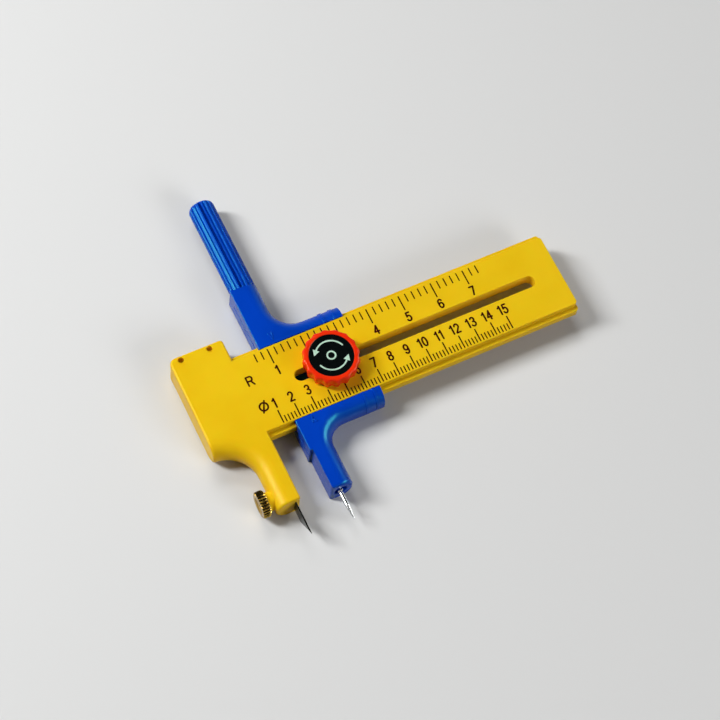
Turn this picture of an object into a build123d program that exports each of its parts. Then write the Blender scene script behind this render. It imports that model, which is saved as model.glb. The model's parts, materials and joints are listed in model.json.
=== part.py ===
from build123d import *
import os

os.makedirs("parts", exist_ok=True)

# Driving sizes, in millimetres. Places along the beam are measured from the zero of the scale,
# and places across it from the centre line of the beam.

# Yellow moulding: head, beam and blade arm
body_height = 9.0
head_length = 16.0
head_far = 18.55
head_near = 11.9
head_corner = 2.0
head_inner_corner = 1.0
head_edge = 0.7
beam_length = 95.3
beam_width = 22.8
beam_thickness = 4.2
beam_corner = 1.0
top_edge = 0.25
rail_step = 1.6
rail_out = 1.45
rail_edge = 0.35
slot_start = 13.4
slot_end_wall = 7.8
slot_width = 3.55
arm_width = 6.9
arm_reach = 32.3
arm_round = 4.3
arm_end_edge = 0.6
peg_hole_radius = 0.83
peg_hole_depth = 2.0
peg_hole_spacing = 8.45
peg_hole_inset = 1.35
peg_hole_from_end = 3.25

# Blade, thumbscrew and brass nut
blade_length = 17.0
blade_width = 5.0
blade_thickness = 0.4
blade_slant = 4.8
blade_bevel = 0.8
blade_bevel_depth = 0.3
blade_hidden = 7.2
blade_face = 1.63
thumb_height = 4.5
thumb_inset = 3.9
thumb_shank = 1.25
thumb_radius = 3.8
thumb_thickness = 2.4
thumb_edge = 0.3
thumb_teeth = 30
thumb_tooth = 0.2
boss_radius = 2.7
boss_out = 1.1
blade_nut_side = 4.5
blade_nut_out = 0.25
blade_nut_edge = 0.3

# Spare blade pocket and its sliding lid
lid_width = 10.4
lid_length = 22.6
lid_thickness = 1.3
lid_tongue = 0.8
lid_tongue_height = 0.6
lid_setback = 0.6
lid_middle = 8.0
lid_groove_depth = 0.35
lid_groove_width = 0.6
lid_groove_length = 7.0
lid_groove_pitch = 1.4
lid_grooves = 4
pocket_width = 5.6
pocket_length = 17.6
pocket_depth = 2.0
pocket_setback = 2.2
spare_blade_count = 3
spare_blade_gap = 0.1

# Blue slider
slider_start = 8.0
slider_length = 25.4
flange_reach = 15.8
flange_round = 3.9
neck_width = 8.1
neck_reach = 30.8
neck_web = 6.75
needle_arm_setback = 0.8
needle_arm_step = 21.0
needle_arm_width = 6.4
needle_arm_reach = 33.5
needle_arm_web = 6.0
needle_arm_edge = 0.9
under_left_edge = 0.7
shell_height = 4.4
parting_reach = 28.0
parting_slope = 2.0
grip_radius = 3.75
grip_reach = 61.0
grip_middle = 12.4
grip_height = 4.5
grip_end_edge = 1.6
flute_count = 18
flute_radius = 0.42
flute_depth = 0.48
flute_start = 100.0
slit_width = 0.5
slit_depth = 1.3
side_groove_height = 0.5
side_groove_depth = 0.4
rib_width = 0.8
rib_out = 0.22
rib_places = (28.1, 31.2)
index_middle = 12.75
index_far = 12.5
index_near = 11.7
index_length = 2.4
index_width = 1.5
index_line = 0.35
index_out = 0.2

# Core of the shell that stands in the cover, and the screws that join them
core_wall = 1.6
core_reach = 13.8
core_floor = 1.6
core_neck_width = 4.4
core_neck_reach = 26.0
core_arm_start = 9.9
core_arm_width = 3.3
core_arm_wall = 2.5
cover_screw_radius = 0.8
cover_screw_head = 1.55
cover_screw_head_height = 0.8
cover_screw_length = 3.0
cover_screw_recess = 0.2
cover_screw_slot = 0.5
cover_screw_slot_depth = 0.35
cover_screw_places = ((11.6, 23.6), (10.95, -19.6), (29.8, 9.8), (29.8, -9.8))

# Needle
needle_middle = 11.35
needle_height = 4.5
needle_radius = 0.65
needle_root_radius = 0.8
needle_root_out = 0.1
needle_point_radius = 0.36
needle_end_radius = 0.03
needle_hidden = 9.0
needle_shank_out = 5.3
needle_shoulder = 0.5
needle_point = 2.4
needle_out = 8.8
mouth_width = 3.6
mouth_height = 3.2
mouth_rise = 0.9
mouth_depth = 1.2
mouth_edge = 0.8

# Clamp knob, its screw, washer, nut and label
knob_middle = 24.05
knob_base_radius = 7.75
knob_radius = 8.1
knob_wide_height = 3.8
knob_height = 4.7
knob_edge = 0.8
knob_lobes = 16
knob_scallop_radius = 1.5
knob_scallop_depth = 0.3
knob_scallop_taper = 5.0
label_radius = 6.2
label_thickness = 0.4
label_lip = 0.1
knob_screw_radius = 1.5
knob_screw_head = 2.75
knob_screw_head_height = 1.8
washer_radius = 5.2
washer_thickness = 0.3
nut_across = 5.5
nut_thickness = 1.8

# Clearances
slide_gap = 0.1
turn_gap = 0.06
seat_gap = 0.04
overrun = 1.0

# The origin is on the floor under the middle of the whole object
needle_reach = needle_arm_reach + needle_out
head_left = -(head_length + beam_length) / 2
zero_x = head_left + head_length
line_y = -(grip_reach - needle_reach) / 2
top = body_height
beam_under = top - beam_thickness
rail_top = top - rail_step
arm_left = zero_x - arm_width
arm_end = line_y - arm_reach
thumb_y = arm_end + thumb_inset
blade_tail = arm_end + blade_hidden
blade_left = zero_x - blade_face
blade_right = blade_left + blade_thickness
blade_top = thumb_height + blade_width / 2
lid_x = zero_x - lid_middle
lid_far = line_y + head_far - lid_setback
lid_under = seat_gap
lid_top = lid_under + lid_thickness
pocket_y = lid_far - pocket_setback - pocket_length / 2
slider_left = zero_x + slider_start
slider_right = slider_left + slider_length
channel_floor = beam_under - slide_gap
parting = top - shell_height
knob_x = zero_x + knob_middle
needle_x = zero_x + needle_middle
needle_end = line_y - needle_arm_reach
core_arm_reach = needle_arm_reach - core_arm_wall
nut_under = core_floor + seat_gap
knob_floor = top + washer_thickness + 2 * seat_gap
label_floor = knob_floor + knob_height - label_lip - label_thickness
screw_seat = label_floor - 2 * seat_gap - knob_screw_head_height
cover_screw_points = [(zero_x + x, line_y + y) for x, y in cover_screw_places]


def blade_profile():
    """One blade from its side: the square end at the origin and the straight back along X."""
    with BuildSketch() as profile:
        with BuildLine():
            Polyline(
                (0, 0),
                (blade_length, 0),
                (blade_length - blade_slant, -blade_width),
                (0, -blade_width),
                close=True,
            )
        make_face()
        with Locations((blade_hidden - thumb_inset, -blade_width / 2)):
            Circle(thumb_shank + turn_gap, mode=Mode.SUBTRACT)
    return profile.sketch


def scale_beam():
    """The beam with a wider rail at each side below its top, and rounded corners at its end."""
    with BuildPart() as bar:
        with BuildSketch(Plane.YZ.offset(zero_x - overrun)) as section:
            with Locations((line_y, (beam_under + top) / 2)):
                Rectangle(beam_width, beam_thickness)
            with Locations((line_y, (beam_under + rail_top) / 2)):
                Rectangle(beam_width + 2 * rail_out, beam_thickness - rail_step)
            fillet(section.vertices().group_by(Axis.Y)[-1], radius=top_edge)
            shoulders = section.vertices().filter_by(lambda v: abs(v.Y - rail_top) < seat_gap)
            shoulders = shoulders.group_by(Axis.X)
            fillet(shoulders[0] + shoulders[-1], radius=rail_edge)
        extrude(amount=beam_length + overrun)
        for half_width, foot, height in (
            (beam_width / 2, rail_top, rail_step),
            (beam_width / 2 + rail_out, beam_under, beam_thickness - rail_step),
        ):
            for side in (1, -1):
                round_x = zero_x + beam_length - beam_corner
                round_y = line_y + side * (half_width - beam_corner)
                cut = beam_corner + overrun
                with BuildSketch(Plane.XY.offset(foot)):
                    with Locations((round_x + cut / 2, round_y + side * cut / 2)):
                        Rectangle(cut, cut)
                    with Locations((round_x, round_y)):
                        Circle(beam_corner, mode=Mode.SUBTRACT)
                extrude(amount=height, mode=Mode.SUBTRACT)
    return bar.part


# Yellow moulding
with BuildPart() as beam_body:
    # Head, web and arm from one plan outline
    near = line_y - head_near
    web_radius = head_length - arm_width
    with BuildSketch():
        with BuildLine():
            Line((head_left, line_y + head_far), (zero_x, line_y + head_far))
            Line((zero_x, line_y + head_far), (zero_x, arm_end))
            Line((zero_x, arm_end), (arm_left, arm_end))
            Line((arm_left, arm_end), (arm_left, near - web_radius))
            CenterArc((head_left, near - web_radius), web_radius, 0, 90)
            Line((head_left, near), (head_left, line_y + head_far))
        make_face()
    extrude(amount=body_height)
    # The web and the outer side of the arm are rounded right over
    level = beam_body.edges().filter_by(lambda e: e.bounding_box().size.Z < seat_gap)
    outer = level.filter_by(lambda e: e.center().X < arm_left + seat_gap)
    outer = outer.filter_by(lambda e: arm_end + seat_gap < e.center().Y < near)
    fillet(outer, radius=arm_round)
    # Small edges of the head and of the end of the arm
    upright = beam_body.edges().filter_by(Axis.Z).filter_by(lambda e: e.center().Y > line_y)
    fillet(upright.group_by(Axis.X)[0], radius=head_corner)
    fillet(upright.group_by(Axis.X)[-1], radius=head_inner_corner)
    left_face = beam_body.faces().sort_by(Axis.X)[0]
    fillet(left_face.edges().filter_by(Axis.Y), radius=head_edge)
    end_face = beam_body.faces().sort_by(Axis.Y)[0]
    end_edges = end_face.edges().filter_by(lambda e: e.center().X < zero_x - seat_gap)
    fillet(end_edges, radius=arm_end_edge)
    # Beam with its rails
    add(scale_beam())
    # Slot for the clamp screw
    slot_length = beam_length - slot_end_wall - slot_start
    with BuildSketch(Plane.XY.offset(beam_under - overrun)):
        with Locations((zero_x + slot_start + slot_length / 2, line_y)):
            SlotOverall(slot_length, slot_width)
    extrude(amount=beam_thickness + 2 * overrun, mode=Mode.SUBTRACT)
    # Boss for the thumbscrew, and the bore right through the arm
    with BuildSketch(Plane.YZ.offset(arm_left - boss_out)):
        with Locations((thumb_y, thumb_height)):
            Circle(boss_radius)
    extrude(amount=boss_out + arm_width / 2)
    with BuildSketch(Plane.YZ.offset(arm_left - boss_out - overrun)):
        with Locations((thumb_y, thumb_height)):
            Circle(thumb_shank + turn_gap)
    extrude(amount=arm_width + boss_out + 2 * overrun, mode=Mode.SUBTRACT)
    # Slit for the blade, open at the end of the arm
    slit_length = blade_hidden + seat_gap + overrun
    with BuildSketch(Plane.YZ.offset(blade_left - seat_gap)):
        with Locations((arm_end - overrun + slit_length / 2, thumb_height)):
            Rectangle(slit_length, blade_width + 2 * seat_gap)
    extrude(amount=blade_thickness + 2 * seat_gap, mode=Mode.SUBTRACT)
    # Square window for the brass nut, in the wall that stands beside the blade
    with BuildSketch(Plane.YZ.offset(blade_right)):
        with Locations((thumb_y, thumb_height)):
            Rectangle(blade_nut_side + 2 * seat_gap, blade_nut_side + 2 * seat_gap)
    extrude(amount=zero_x - blade_right + overrun, mode=Mode.SUBTRACT)
    # Two peg holes near the far edge
    with BuildSketch(Plane.XY.offset(top)):
        peg_x = head_left + peg_hole_from_end
        peg_y = line_y + head_far - peg_hole_inset
        with Locations((peg_x, peg_y), (peg_x + peg_hole_spacing, peg_y)):
            Circle(peg_hole_radius)
    extrude(amount=-peg_hole_depth, mode=Mode.SUBTRACT)
    # Guide for the lid, open at the far side, and the pocket above it
    guide_step = lid_top - lid_tongue_height - seat_gap
    guide_top = lid_top + seat_gap
    with BuildSketch(Plane.XZ.offset(-(line_y + head_far + overrun))):
        with Locations((lid_x, guide_step / 2)):
            Rectangle(lid_width + 2 * slide_gap, guide_step)
        with Locations((lid_x, (guide_step + guide_top) / 2)):
            Rectangle(lid_width + 2 * lid_tongue + 2 * slide_gap, guide_top - guide_step)
    extrude(amount=overrun + lid_setback + lid_length + slide_gap, mode=Mode.SUBTRACT)
    with BuildSketch(Plane.XY.offset(lid_top)):
        with Locations((lid_x, pocket_y)):
            Rectangle(pocket_width, pocket_length)
    extrude(amount=pocket_depth, mode=Mode.SUBTRACT)
beam_body.part.label = "beam_body"
export_step(beam_body.part, "parts/beam_body.step")


# Sliding lid of the spare blade pocket, with finger grooves
with BuildPart() as storage_lid:
    with BuildSketch(Plane.XZ.offset(-lid_far)):
        with Locations((lid_x, lid_under + lid_thickness / 2)):
            Rectangle(lid_width, lid_thickness)
        with Locations((lid_x, lid_top - lid_tongue_height / 2)):
            Rectangle(lid_width + 2 * lid_tongue, lid_tongue_height)
    extrude(amount=lid_length)
    with BuildSketch(Plane.XY.offset(lid_under)):
        with Locations((lid_x, lid_far - lid_groove_pitch * (lid_grooves + 1) / 2)):
            with GridLocations(lid_width, lid_groove_pitch, 1, lid_grooves):
                Rectangle(lid_groove_length, lid_groove_width)
    extrude(amount=lid_groove_depth, mode=Mode.SUBTRACT)
storage_lid.part.label = "storage_lid"
export_step(storage_lid.part, "parts/storage_lid.step")


# Spare blades, lying flat above the lid
with BuildPart() as spare_blades:
    for layer in range(spare_blade_count):
        spare_z = lid_top + seat_gap + layer * (blade_thickness + spare_blade_gap)
        spare_corner = (lid_x + blade_width / 2, pocket_y + blade_length / 2, spare_z)
        with BuildSketch(Plane(origin=spare_corner, x_dir=(0, -1, 0), z_dir=(0, 0, 1))):
            add(blade_profile())
        extrude(amount=blade_thickness)
spare_blades.part.label = "spare_blades"
export_step(spare_blades.part, "parts/spare_blades.step")


# Working blade, standing on edge in its slit, ground on one side
with BuildPart() as blade:
    blade_corner = (blade_left, blade_tail, blade_top)
    with BuildSketch(Plane(origin=blade_corner, x_dir=(0, -1, 0), z_dir=(-1, 0, 0))):
        add(blade_profile())
    extrude(amount=-blade_thickness)
    left_side = blade.faces().sort_by(Axis.X)[0]
    slanted = left_side.outer_wire().edges().sort_by(Axis.Y)[0]
    chamfer(slanted, length=blade_bevel, length2=blade_bevel_depth, reference=left_side)
blade.part.label = "blade"
export_step(blade.part, "parts/blade.step")


# Square brass nut that presses on the blade
with BuildPart() as blade_nut:
    with BuildSketch(Plane.YZ.offset(blade_right + seat_gap)):
        with Locations((thumb_y, thumb_height)):
            Rectangle(blade_nut_side, blade_nut_side)
            Circle(thumb_shank + turn_gap, mode=Mode.SUBTRACT)
    extrude(amount=zero_x + blade_nut_out - blade_right - seat_gap)
    nut_rim = blade_nut.faces().sort_by(Axis.X)[-1].outer_wire().edges()
    chamfer(nut_rim, length=blade_nut_edge)
blade_nut.part.label = "blade_nut"
export_step(blade_nut.part, "parts/blade_nut.step")


# Thumbscrew with a knurled head
with BuildPart() as blade_thumbscrew:
    thumb_inner = arm_left - boss_out - seat_gap
    with BuildSketch(Plane.YZ.offset(thumb_inner - thumb_thickness)):
        with Locations((thumb_y, thumb_height)):
            Circle(thumb_radius)
    extrude(amount=thumb_thickness)
    chamfer(blade_thumbscrew.edges().filter_by(GeomType.CIRCLE), length=thumb_edge)
    with BuildSketch(Plane.YZ.offset(thumb_inner - thumb_thickness - overrun)):
        with Locations((thumb_y, thumb_height)):
            with PolarLocations(thumb_radius, thumb_teeth):
                RegularPolygon(thumb_tooth * 2, 4)
    extrude(amount=thumb_thickness + 2 * overrun, mode=Mode.SUBTRACT)
    with BuildSketch(Plane.YZ.offset(thumb_inner)):
        with Locations((thumb_y, thumb_height)):
            Circle(thumb_shank)
    extrude(amount=zero_x + blade_nut_out - thumb_inner)
blade_thumbscrew.part.label = "blade_thumbscrew"
export_step(blade_thumbscrew.part, "parts/blade_thumbscrew.step")


def slider_block():
    """The slider's whole outer form before it is parted: neck, flanges and needle arm."""
    neck_right = slider_left + neck_width
    arm_start = slider_left + needle_arm_setback
    arm_right = arm_start + needle_arm_width
    far_side = line_y + flange_reach
    near_side = line_y - flange_reach
    with BuildPart() as block:
        with BuildSketch():
            with BuildLine():
                Line((slider_left, line_y + neck_reach), (neck_right, line_y + neck_reach))
                Line((neck_right, line_y + neck_reach), (neck_right, far_side + neck_web))
                CenterArc((neck_right + neck_web, far_side + neck_web), neck_web, 180, 90)
                Line((neck_right + neck_web, far_side), (slider_right, far_side))
                Line((slider_right, far_side), (slider_right, near_side))
                Line((slider_right, near_side), (arm_right + needle_arm_web, near_side))
                web_middle = (arm_right + needle_arm_web, near_side - needle_arm_web)
                CenterArc(web_middle, needle_arm_web, 90, 90)
                Polyline(
                    (arm_right, near_side - needle_arm_web),
                    (arm_right, needle_end),
                    (arm_start, needle_end),
                    (arm_start, line_y - needle_arm_step),
                    (slider_left, line_y - needle_arm_step),
                    (slider_left, line_y + neck_reach),
                )
            make_face()
        extrude(amount=body_height)
        level = block.edges().filter_by(lambda e: e.bounding_box().size.Z < seat_gap)
        right = level.filter_by(lambda e: e.center().X > arm_right - seat_gap)
        right = right.filter_by(lambda e: e.center().X < slider_right - seat_gap)
        fillet(right, radius=flange_round)
        left = block.edges().filter_by(Axis.Y).filter_by(lambda e: e.center().X < arm_start - seat_gap)
        fillet(left.group_by(Axis.Z)[0], radius=under_left_edge)
        fillet(left.group_by(Axis.Z)[-1], radius=top_edge)
        fillet(block.faces().sort_by(Axis.Y)[0].edges(), radius=needle_arm_edge)
    return block.part


def parting_prism(gap):
    """Everything below the parting of shell and cover, with a sloping end under the neck."""
    level = parting - gap
    reach = line_y + parting_reach - gap
    slope = parting_slope * (level + overrun) / level
    with BuildPart() as prism:
        with BuildSketch(Plane.YZ.offset(slider_left - overrun)):
            with BuildLine():
                Polyline(
                    (needle_end - overrun, -overrun),
                    (reach + slope, -overrun),
                    (reach, level),
                    (needle_end - overrun, level),
                    close=True,
                )
            make_face()
        extrude(amount=slider_length + 2 * overrun)
    return prism.part


def core(gap):
    """The core of the shell, grown by the gap all round for the hollow of the cover."""
    core_left = slider_left + core_wall
    core_length = slider_length - 2 * core_wall
    core_arm_x = zero_x + core_arm_start + core_arm_width / 2
    with BuildPart() as block:
        with BuildSketch(Plane.XY.offset(core_floor - gap)):
            with Locations((core_left + core_length / 2, line_y)):
                Rectangle(core_length + 2 * gap, 2 * core_reach + 2 * gap)
            with Locations((core_left + core_neck_width / 2, line_y + core_neck_reach / 2)):
                Rectangle(core_neck_width + 2 * gap, core_neck_reach + 2 * gap)
            with Locations((core_arm_x, line_y - core_arm_reach / 2)):
                Rectangle(core_arm_width + 2 * gap, core_arm_reach + 2 * gap)
        extrude(amount=channel_floor - core_floor + gap)
    return block.part


def needle_room():
    """The bore that holds the needle, and the mouth in the end of the arm."""
    with BuildPart() as room:
        bore_length = needle_hidden + needle_out
        with BuildSketch(Plane.XZ.offset(-(needle_end + needle_hidden + seat_gap))):
            with Locations((needle_x, needle_height)):
                Circle(needle_root_radius + seat_gap)
        extrude(amount=bore_length)
        with BuildSketch(Plane.XZ.offset(-(needle_end + mouth_depth))):
            with Locations((needle_x, needle_height + mouth_rise)):
                RectangleRounded(mouth_width, mouth_height, mouth_edge)
        extrude(amount=mouth_depth + overrun)
    return room.part


# Blue shell: neck, grip, flanges, needle arm and the core under the beam
with BuildPart() as slider_shell:
    add(slider_block())
    add(parting_prism(0), mode=Mode.SUBTRACT)
    # Ribs near the end, wrapped round each flange
    for rib_place in rib_places:
        with BuildSketch(Plane.YZ.offset(zero_x + rib_place - rib_width / 2)) as rib:
            with Locations((line_y, body_height / 2)):
                Rectangle(2 * (flange_reach + rib_out), body_height + 2 * rib_out)
            fillet(rib.vertices(), radius=flange_round + rib_out)
            with Locations((line_y, parting - body_height / 2)):
                Rectangle(3 * flange_reach, body_height, mode=Mode.SUBTRACT)
        extrude(amount=rib_width)
    # Channel for the beam and its rails
    with BuildSketch(Plane.YZ.offset(slider_left - overrun)):
        channel_height = top - parting + overrun
        groove_height = rail_top + slide_gap - parting
        with Locations((line_y, parting + channel_height / 2)):
            Rectangle(beam_width + 2 * slide_gap, channel_height)
        with Locations((line_y, parting + groove_height / 2)):
            Rectangle(beam_width + 2 * rail_out + 2 * slide_gap, groove_height)
    extrude(amount=slider_length + 2 * overrun, mode=Mode.SUBTRACT)
    add(core(0))
    # Groove along the left side, just above the parting
    groove_start = line_y - needle_arm_step - overrun
    groove_end = line_y + parting_reach
    with BuildSketch(Plane.XY.offset(parting)):
        with Locations((slider_left, (groove_start + groove_end) / 2)):
            Rectangle(2 * side_groove_depth, groove_end - groove_start)
    extrude(amount=side_groove_height, mode=Mode.SUBTRACT)
    # Grip with its flutes, one of them cut deeper as a slit
    grip_x = zero_x + grip_middle
    with BuildSketch(Plane.XZ.offset(-(line_y + neck_reach - overrun))):
        with Locations((grip_x, grip_height)):
            Circle(grip_radius)
    extrude(amount=-(grip_reach - neck_reach + overrun))
    fillet(slider_shell.faces().sort_by(Axis.Y)[-1].edges(), radius=grip_end_edge)
    with BuildSketch(Plane.XZ.offset(-(line_y + neck_reach))):
        with Locations((grip_x, grip_height)):
            flute_middle = grip_radius + flute_radius - flute_depth
            with PolarLocations(flute_middle, flute_count, start_angle=flute_start):
                Circle(flute_radius)
            with PolarLocations(grip_radius, 1, start_angle=flute_start):
                Rectangle(2 * slit_depth, slit_width)
    extrude(amount=-(grip_reach - neck_reach), mode=Mode.SUBTRACT)
    # Raised index marks that point at the scales
    for side, index_reach in ((1, index_far), (-1, index_near)):
        index_x = zero_x + index_middle
        point = line_y + side * index_reach
        tail = point + side * index_length
        with BuildSketch(Plane.XY.offset(top)):
            with BuildLine():
                Polyline(
                    (index_x, point),
                    (index_x + index_width / 2, tail),
                    (index_x + index_width / 2 - index_line, tail),
                    (index_x, point + side * 2 * index_line),
                    (index_x - index_width / 2 + index_line, tail),
                    (index_x - index_width / 2, tail),
                    close=True,
                )
            make_face()
        extrude(amount=index_out)
    add(needle_room(), mode=Mode.SUBTRACT)
    # Hole for the clamp screw and the pocket for its nut
    with BuildSketch(Plane.XY.offset(core_floor - overrun)):
        with Locations((knob_x, line_y)):
            Circle(knob_screw_radius + turn_gap)
    extrude(amount=channel_floor - core_floor + 2 * overrun, mode=Mode.SUBTRACT)
    with BuildSketch(Plane.XY.offset(core_floor)):
        with Locations((knob_x, line_y)):
            RegularPolygon(nut_across / 2 + seat_gap, 6, major_radius=False)
    extrude(amount=nut_thickness + 2 * seat_gap, mode=Mode.SUBTRACT)
    # Holes for the cover screws
    with BuildSketch(Plane.XY.offset(core_floor)):
        with Locations(*cover_screw_points):
            Circle(cover_screw_radius + seat_gap)
    screw_top = cover_screw_recess + cover_screw_head_height + cover_screw_length
    extrude(amount=screw_top + seat_gap - core_floor, mode=Mode.SUBTRACT)
slider_shell.part.label = "slider_shell"
export_step(slider_shell.part, "parts/slider_shell.step")


# Blue cover: the tray that closes the slider from below
with BuildPart() as slider_cover:
    add(slider_block())
    add(parting_prism(seat_gap), mode=Mode.INTERSECT)
    add(core(seat_gap), mode=Mode.SUBTRACT)
    add(needle_room(), mode=Mode.SUBTRACT)
    with BuildSketch():
        with Locations(*cover_screw_points):
            Circle(cover_screw_head + turn_gap)
    extrude(amount=cover_screw_recess + cover_screw_head_height, mode=Mode.SUBTRACT)
    with BuildSketch():
        with Locations(*cover_screw_points):
            Circle(cover_screw_radius + turn_gap)
    extrude(amount=core_floor, mode=Mode.SUBTRACT)
slider_cover.part.label = "slider_cover"
export_step(slider_cover.part, "parts/slider_cover.step")


# Four screws that hold the cover to the shell
with BuildPart() as cover_screws:
    with BuildSketch(Plane.XY.offset(cover_screw_recess)):
        with Locations(*cover_screw_points):
            Circle(cover_screw_head)
    extrude(amount=cover_screw_head_height)
    with BuildSketch(Plane.XY.offset(cover_screw_recess)):
        with Locations(*cover_screw_points):
            Rectangle(2 * cover_screw_head, cover_screw_slot)
    extrude(amount=cover_screw_slot_depth, mode=Mode.SUBTRACT)
    with BuildSketch(Plane.XY.offset(cover_screw_recess + cover_screw_head_height)):
        with Locations(*cover_screw_points):
            Circle(cover_screw_radius)
    extrude(amount=cover_screw_length)
cover_screws.part.label = "cover_screws"
export_step(cover_screws.part, "parts/cover_screws.step")


# Needle, a stepped pin turned to a point, with a thicker root held in the arm
with BuildPart() as needle:
    with BuildSketch(Plane.XY.offset(needle_height)):
        shoulder_y = needle_end - needle_shank_out
        tip_y = line_y - needle_reach
        with BuildLine():
            Polyline(
                (needle_x, needle_end + needle_hidden),
                (needle_x + needle_root_radius, needle_end + needle_hidden),
                (needle_x + needle_root_radius, needle_end - needle_root_out),
                (needle_x + needle_radius, needle_end - needle_root_out),
                (needle_x + needle_radius, shoulder_y),
                (needle_x + needle_point_radius, shoulder_y - needle_shoulder),
                (needle_x + needle_point_radius, tip_y + needle_point),
                (needle_x + needle_end_radius, tip_y),
                (needle_x, tip_y),
                close=True,
            )
        make_face()
    revolve(axis=Axis((needle_x, 0, needle_height), (0, 1, 0)))
needle.part.label = "needle"
export_step(needle.part, "parts/needle.step")


# Red knob with a scalloped rim that leans in towards the base
with BuildPart() as knob:
    with BuildSketch(Plane.XZ.offset(-line_y)) as knob_half:
        with BuildLine():
            Polyline(
                (knob_x, knob_floor),
                (knob_x + knob_base_radius, knob_floor),
                (knob_x + knob_radius, knob_floor + knob_wide_height),
                (knob_x + knob_radius, knob_floor + knob_height),
                (knob_x, knob_floor + knob_height),
                close=True,
            )
        make_face()
        rim_corner = knob_half.vertices().group_by(Axis.Y)[-1].sort_by(Axis.X)[-1]
        fillet(rim_corner, radius=knob_edge)
    revolve(axis=Axis((knob_x, line_y, 0), (0, 0, 1)))
    # Scallops that grow wider and deeper towards the base
    with BuildSketch(Plane.XY.offset(knob_floor + knob_height + overrun)):
        with Locations((knob_x, line_y)):
            with PolarLocations(knob_radius + knob_scallop_radius - knob_scallop_depth, knob_lobes):
                Circle(knob_scallop_radius)
    extrude(amount=-(knob_height + 2 * overrun), taper=-knob_scallop_taper, mode=Mode.SUBTRACT)
    # Recess for the label, seat and bore for the screw
    with BuildSketch(Plane.XY.offset(label_floor - seat_gap)):
        with Locations((knob_x, line_y)):
            Circle(label_radius + seat_gap)
    extrude(amount=overrun, mode=Mode.SUBTRACT)
    with BuildSketch(Plane.XY.offset(screw_seat)):
        with Locations((knob_x, line_y)):
            RegularPolygon(knob_screw_head + seat_gap, 6, major_radius=False)
    extrude(amount=knob_height, mode=Mode.SUBTRACT)
    with BuildSketch(Plane.XY.offset(knob_floor - overrun)):
        with Locations((knob_x, line_y)):
            Circle(knob_screw_radius + seat_gap)
    extrude(amount=knob_height, mode=Mode.SUBTRACT)
knob.part.label = "knob"
export_step(knob.part, "parts/knob.step")


# Black label disc
with BuildPart() as knob_label:
    with BuildSketch(Plane.XY.offset(label_floor)):
        with Locations((knob_x, line_y)):
            Circle(label_radius)
    extrude(amount=label_thickness)
knob_label.part.label = "knob_label"
export_step(knob_label.part, "parts/knob_label.step")


# Screw that is fast in the knob, with a hexagon head
with BuildPart() as knob_screw:
    with BuildSketch(Plane.XY.offset(screw_seat + seat_gap)):
        with Locations((knob_x, line_y)):
            RegularPolygon(knob_screw_head, 6, major_radius=False)
    extrude(amount=knob_screw_head_height)
    with BuildSketch(Plane.XY.offset(nut_under)):
        with Locations((knob_x, line_y)):
            Circle(knob_screw_radius)
    extrude(amount=screw_seat + seat_gap - nut_under)
knob_screw.part.label = "knob_screw"
export_step(knob_screw.part, "parts/knob_screw.step")


# Washer between the knob and the scale
with BuildPart() as washer:
    with BuildSketch(Plane.XY.offset(top + seat_gap)):
        with Locations((knob_x, line_y)):
            Circle(washer_radius)
            Circle(knob_screw_radius + turn_gap, mode=Mode.SUBTRACT)
    extrude(amount=washer_thickness)
washer.part.label = "washer"
export_step(washer.part, "parts/washer.step")


# Captive nut in the core
with BuildPart() as clamp_nut:
    with BuildSketch(Plane.XY.offset(nut_under)):
        with Locations((knob_x, line_y)):
            RegularPolygon(nut_across / 2, 6, major_radius=False)
            Circle(knob_screw_radius + turn_gap, mode=Mode.SUBTRACT)
    extrude(amount=nut_thickness)
clamp_nut.part.label = "clamp_nut"
export_step(clamp_nut.part, "parts/clamp_nut.step")
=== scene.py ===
# %% [markdown]
# # A circle cutter
#
# This file dresses the CAD model of a circle cutter: a yellow scale beam with a blade arm,
# a blue slider with a needle arm and a fluted grip, and a red knob that clamps them.
# The CAD gives the solids and their places. Here come the finishes, the printed scales,
# the finer knob, thumbscrew and needle, the camera and the light. Each cell does one thing
# and prints what it made.

import json
import math

import bmesh
import bpy
from mathutils import Matrix, Vector

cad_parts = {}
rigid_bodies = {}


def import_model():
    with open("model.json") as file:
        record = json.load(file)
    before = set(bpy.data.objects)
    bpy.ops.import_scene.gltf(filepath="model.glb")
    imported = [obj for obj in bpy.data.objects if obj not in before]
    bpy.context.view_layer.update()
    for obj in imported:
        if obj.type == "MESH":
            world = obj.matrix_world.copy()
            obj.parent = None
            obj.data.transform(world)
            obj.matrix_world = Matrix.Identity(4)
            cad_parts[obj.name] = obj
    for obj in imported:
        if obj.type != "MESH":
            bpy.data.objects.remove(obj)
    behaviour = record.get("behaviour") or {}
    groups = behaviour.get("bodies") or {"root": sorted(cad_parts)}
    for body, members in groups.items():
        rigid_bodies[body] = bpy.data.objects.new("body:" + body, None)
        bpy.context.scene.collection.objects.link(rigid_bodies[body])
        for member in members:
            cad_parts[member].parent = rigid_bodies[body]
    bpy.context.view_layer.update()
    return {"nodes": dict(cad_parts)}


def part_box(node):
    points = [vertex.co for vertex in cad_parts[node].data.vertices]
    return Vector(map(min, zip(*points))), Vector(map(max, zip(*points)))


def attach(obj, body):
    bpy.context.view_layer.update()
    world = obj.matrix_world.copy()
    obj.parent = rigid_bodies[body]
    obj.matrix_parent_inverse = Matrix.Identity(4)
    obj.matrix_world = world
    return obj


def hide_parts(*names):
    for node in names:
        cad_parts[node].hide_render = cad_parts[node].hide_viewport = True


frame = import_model()
nodes = frame["nodes"]
print("nodes:", ", ".join(sorted(nodes)))

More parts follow.
